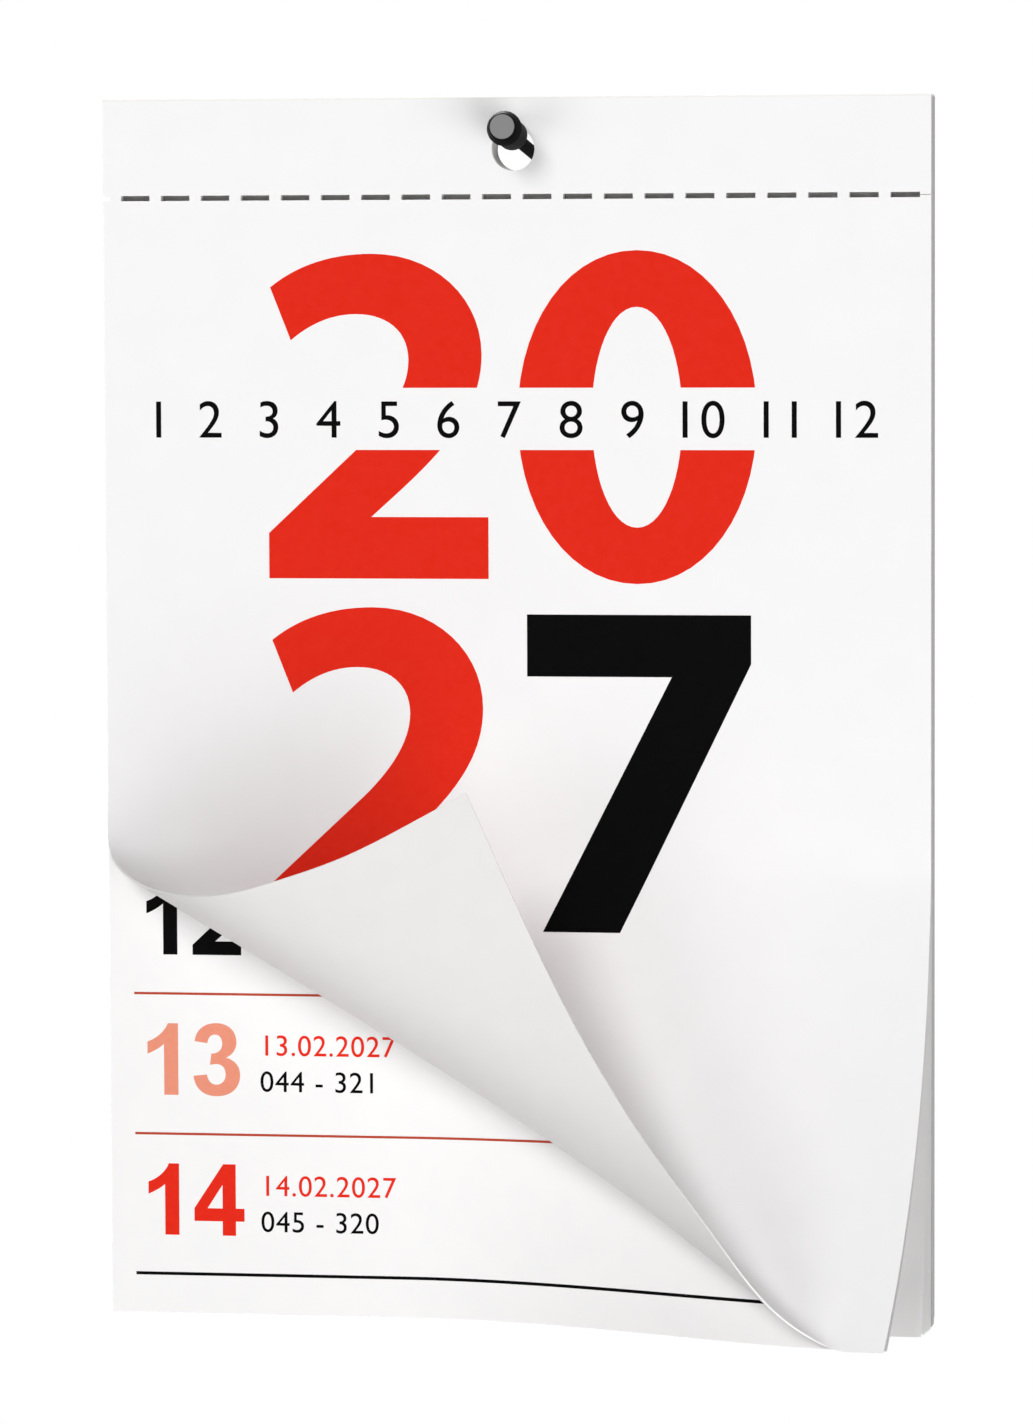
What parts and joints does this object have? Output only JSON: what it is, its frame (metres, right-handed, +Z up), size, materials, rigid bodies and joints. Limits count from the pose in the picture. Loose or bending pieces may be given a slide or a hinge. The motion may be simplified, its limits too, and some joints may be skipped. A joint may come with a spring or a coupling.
{
  "type": "tear-off wall calendar",
  "caption": "Wall-hung tear-off calendar: a perforated pad of week leaves on a grey board, under a cover with a curled corner, hanging by a punched hole on a tilted peg.",
  "frame": {"origin": "where the peg's axis meets the wall plane", "axes": "+Z up along the page, +Y into the wall, the printed faces look along -Y"},
  "size_m": [0.1431, 0.0678, 0.2104],
  "materials": {
    "cover_paper": "satin coated card",
    "leaf_paper": "matt uncoated",
    "grey_board": "matt grey board",
    "padding_glue": "dried padding glue",
    "peg_black": "satin black",
    "peg_grey": "satin grey",
    "pin_steel": "blackened steel"
  },
  "bodies": {
    "wall_peg": {"peg_body": "peg_black", "peg_cap": "peg_grey", "peg_pin": "pin_steel"},
    "pad": {"backing_board": "grey_board", "glue_binding": "padding_glue", "cover_stub": "cover_paper", "week_stub_01": "leaf_paper", "week_leaf_02": "leaf_paper", "week_leaf_03": "leaf_paper", "week_leaf_04": "leaf_paper", "week_leaf_05": "leaf_paper", "week_leaf_06": "leaf_paper", "week_leaf_07": "leaf_paper", "week_leaf_08": "leaf_paper", "week_leaves_09_14": "leaf_paper", "week_leaves_15_20": "leaf_paper", "week_leaves_21_26": "leaf_paper", "week_leaves_27_32": "leaf_paper", "week_leaves_33_38": "leaf_paper", "week_leaves_39_44": "leaf_paper", "week_leaves_45_47": "leaf_paper"},
    "week_leaf": {"week_leaf_01": "leaf_paper"},
    "cover": {"cover_leaf": "cover_paper"}
  },
  "joints": [
    {"name": "pad_swing", "type": "hinge", "parent": "wall_peg", "child": "pad", "pos_m": [0, -0.00331, -0.00149], "axis": [0, -1, 0], "range_deg": [-30, 30]},
    {"name": "week_leaf_lift", "type": "hinge", "parent": "pad", "child": "week_leaf", "pos_m": [0, -0.00662, -0.00959], "axis": [-1, 0, 0], "range_deg": [0, 55]},
    {"name": "cover_lift", "type": "hinge", "parent": "week_leaf", "child": "cover", "pos_m": [0, -0.00662, -0.00959], "axis": [-1, 0, 0], "range_deg": [0, 65]}
  ]
}
